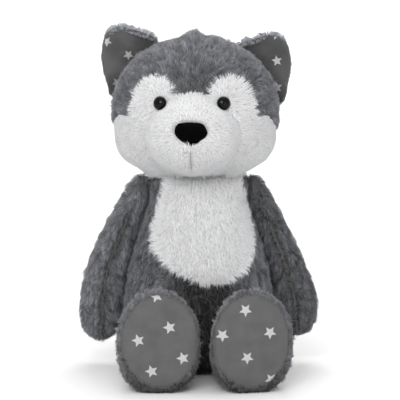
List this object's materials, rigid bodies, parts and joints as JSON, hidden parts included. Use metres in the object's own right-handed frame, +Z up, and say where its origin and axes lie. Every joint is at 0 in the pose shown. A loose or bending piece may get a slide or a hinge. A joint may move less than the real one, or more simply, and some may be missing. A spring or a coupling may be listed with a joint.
{
  "type": "plush dog",
  "caption": "Seated plush husky pup with sewn fur panels, soft filling, star-print soles and ear linings, and a head, ears, arms, legs and tail that move.",
  "frame": {"origin": "middle of the flat seat face that the toy sits on", "axes": "+Z up, the dog faces -Y, +X is to the right of someone who looks at its face"},
  "size_m": [0.1955, 0.2524, 0.2845],
  "materials": {
    "grey_plush": "short cut pile",
    "white_plush": "brushed pile",
    "star_print": "printed cotton",
    "fibre_fill": "loose polyester fibre",
    "pellet_cloth": "plain weave",
    "black_plastic": "gloss",
    "washer_plastic": "matt",
    "thread": "twisted thread"
  },
  "bodies": {
    "torso": {"torso_filling": "fibre_fill", "pellet_bag": "pellet_cloth", "belly_panel": "white_plush", "back_panel_left": "grey_plush", "back_panel_right": "grey_plush", "seat_panel": "grey_plush", "closing_stitch": "thread"},
    "neck": {"neck_filling": "fibre_fill", "neck_thread": "thread"},
    "head": {"head_filling": "fibre_fill", "crown_left": "grey_plush", "crown_right": "grey_plush", "eye_patch_left": "white_plush", "eye_patch_right": "white_plush", "cheek_left": "white_plush", "cheek_right": "white_plush", "chin_panel": "white_plush", "muzzle_panel": "white_plush", "mouth_stitch": "thread", "nose": "black_plastic", "nose_washer": "washer_plastic", "eye_left": "black_plastic", "eye_right": "black_plastic", "eye_washer_left": "washer_plastic", "eye_washer_right": "washer_plastic"},
    "tail": {"tail_panel": "grey_plush", "tail_filling": "fibre_fill"},
    "shoulder_left": {"shoulder_seam_left": "grey_plush"},
    "arm_left": {"arm_outer_left": "grey_plush", "arm_inner_left": "grey_plush", "arm_filling_left": "fibre_fill"},
    "leg_left": {"leg_panel_left": "grey_plush", "sole_left": "star_print", "leg_filling_left": "fibre_fill"},
    "ear_left": {"ear_back_left": "grey_plush", "ear_lining_left": "star_print"},
    "shoulder_right": {"shoulder_seam_right": "grey_plush"},
    "arm_right": {"arm_outer_right": "grey_plush", "arm_inner_right": "grey_plush", "arm_filling_right": "fibre_fill"},
    "leg_right": {"leg_panel_right": "grey_plush", "sole_right": "star_print", "leg_filling_right": "fibre_fill"},
    "ear_right": {"ear_back_right": "grey_plush", "ear_lining_right": "star_print"}
  },
  "joints": [
    {"name": "neck_turn", "type": "hinge", "parent": "torso", "child": "neck", "pos_m": [0, -0.002, 0.154], "axis": [0, 0, 1], "range_deg": [-35, 35], "stiffness_Nm_per_rad": 0.5},
    {"name": "neck_nod", "type": "hinge", "parent": "neck", "child": "head", "pos_m": [0, -0.002, 0.154], "axis": [1, 0, 0], "range_deg": [-10, 10], "stiffness_Nm_per_rad": 0.8},
    {"name": "arm_left_swing", "type": "hinge", "parent": "torso", "child": "shoulder_left", "pos_m": [-0.044, 0, 0.143], "axis": [-1, 0, 0], "range_deg": [-30, 105], "stiffness_Nm_per_rad": 0.08},
    {"name": "arm_left_lift", "type": "hinge", "parent": "shoulder_left", "child": "arm_left", "pos_m": [-0.044, 0, 0.143], "axis": [0, 1, 0], "range_deg": [0, 45], "stiffness_Nm_per_rad": 0.08},
    {"name": "leg_left_swing", "type": "hinge", "parent": "torso", "child": "leg_left", "pos_m": [-0.031, -0.064, 0.0203], "axis": [-1, 0, 0], "range_deg": [0, 30], "stiffness_Nm_per_rad": 0.15},
    {"name": "ear_left_fold", "type": "hinge", "parent": "head", "child": "ear_left", "pos_m": [-0.05527, 0.0029, 0.2518], "axis": [0.5853, -0.0307, 0.8102], "range_deg": [-18, 18], "stiffness_Nm_per_rad": 0.02},
    {"name": "arm_right_swing", "type": "hinge", "parent": "torso", "child": "shoulder_right", "pos_m": [0.044, 0, 0.143], "axis": [-1, 0, 0], "range_deg": [-30, 105], "stiffness_Nm_per_rad": 0.08},
    {"name": "arm_right_lift", "type": "hinge", "parent": "shoulder_right", "child": "arm_right", "pos_m": [0.044, 0, 0.143], "axis": [0, -1, 0], "range_deg": [0, 45], "stiffness_Nm_per_rad": 0.08},
    {"name": "leg_right_swing", "type": "hinge", "parent": "torso", "child": "leg_right", "pos_m": [0.031, -0.064, 0.0203], "axis": [-1, 0, 0], "range_deg": [0, 30], "stiffness_Nm_per_rad": 0.15},
    {"name": "ear_right_fold", "type": "hinge", "parent": "head", "child": "ear_right", "pos_m": [0.05098, -0.00267, 0.2453], "axis": [0.5853, -0.0307, -0.8102], "range_deg": [-18, 18], "stiffness_Nm_per_rad": 0.02},
    {"name": "tail_wag", "type": "hinge", "parent": "torso", "child": "tail", "pos_m": [0, 0.069, 0.034], "axis": [0, 0, 1], "range_deg": [-30, 30], "stiffness_Nm_per_rad": 0.03}
  ]
}
